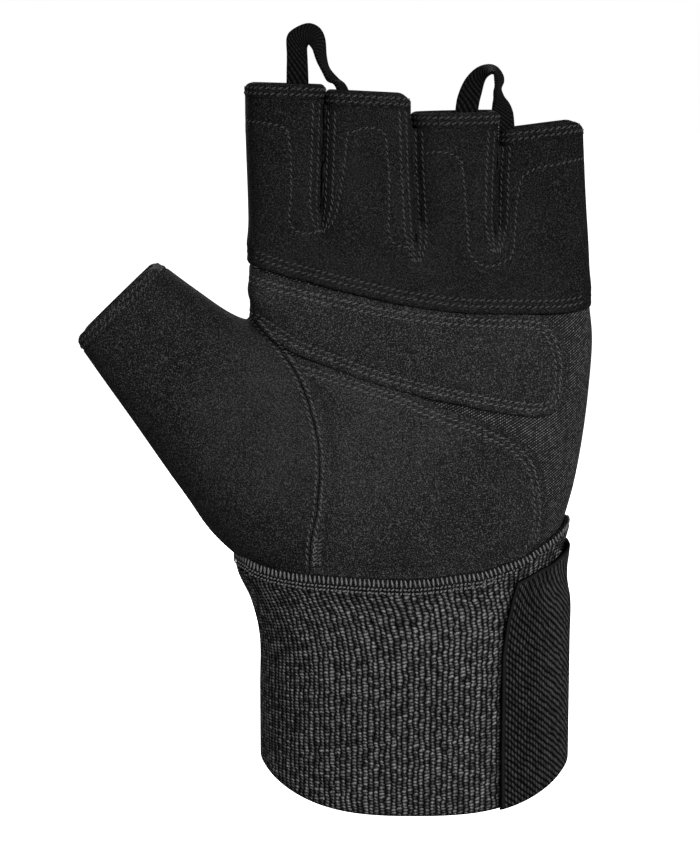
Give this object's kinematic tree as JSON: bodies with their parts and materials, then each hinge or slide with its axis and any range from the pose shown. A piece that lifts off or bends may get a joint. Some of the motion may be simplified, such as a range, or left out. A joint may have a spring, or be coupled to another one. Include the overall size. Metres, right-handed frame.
{
  "type": "weightlifting glove",
  "caption": "Fingerless glove with short finger stalls, two padded palm patches, pull tabs, and a long elastic cuff under a wrist strap.",
  "frame": {"origin": "centre of the wrist opening, level with the lowest point of the cuff", "axes": "+Z from the cuff to the fingers, palm towards -Y, thumb towards -X"},
  "size_m": [0.1479, 0.0613, 0.2231],
  "materials": {
    "suede": "black synthetic suede, fine short nap, matt",
    "stretch": "black stretch twill with a slight sheen",
    "knit": "black ribbed elastic knit",
    "strap_mesh": "black elastic strap with diagonal cords",
    "webbing": "black woven ribbon",
    "thread": "black sewing thread, slightly glossy"
  },
  "bodies": {
    "root": {"back_panel": "stretch", "finger_panel": "suede", "thumb_panel": "suede", "fourchette_index_middle": "suede", "fourchette_middle_ring": "suede", "fourchette_ring_pinky": "suede", "hem_index": "suede", "hem_middle": "suede", "hem_ring": "suede", "hem_pinky": "suede", "hem_thumb": "suede", "upper_palm_pad": "suede", "heel_pad": "suede", "cuff_elastic": "knit", "cuff_binding": "knit", "wrist_strap": "strap_mesh", "pull_tab_index_middle": "webbing", "pull_tab_ring_pinky": "webbing"}
  },
  "joints": []
}
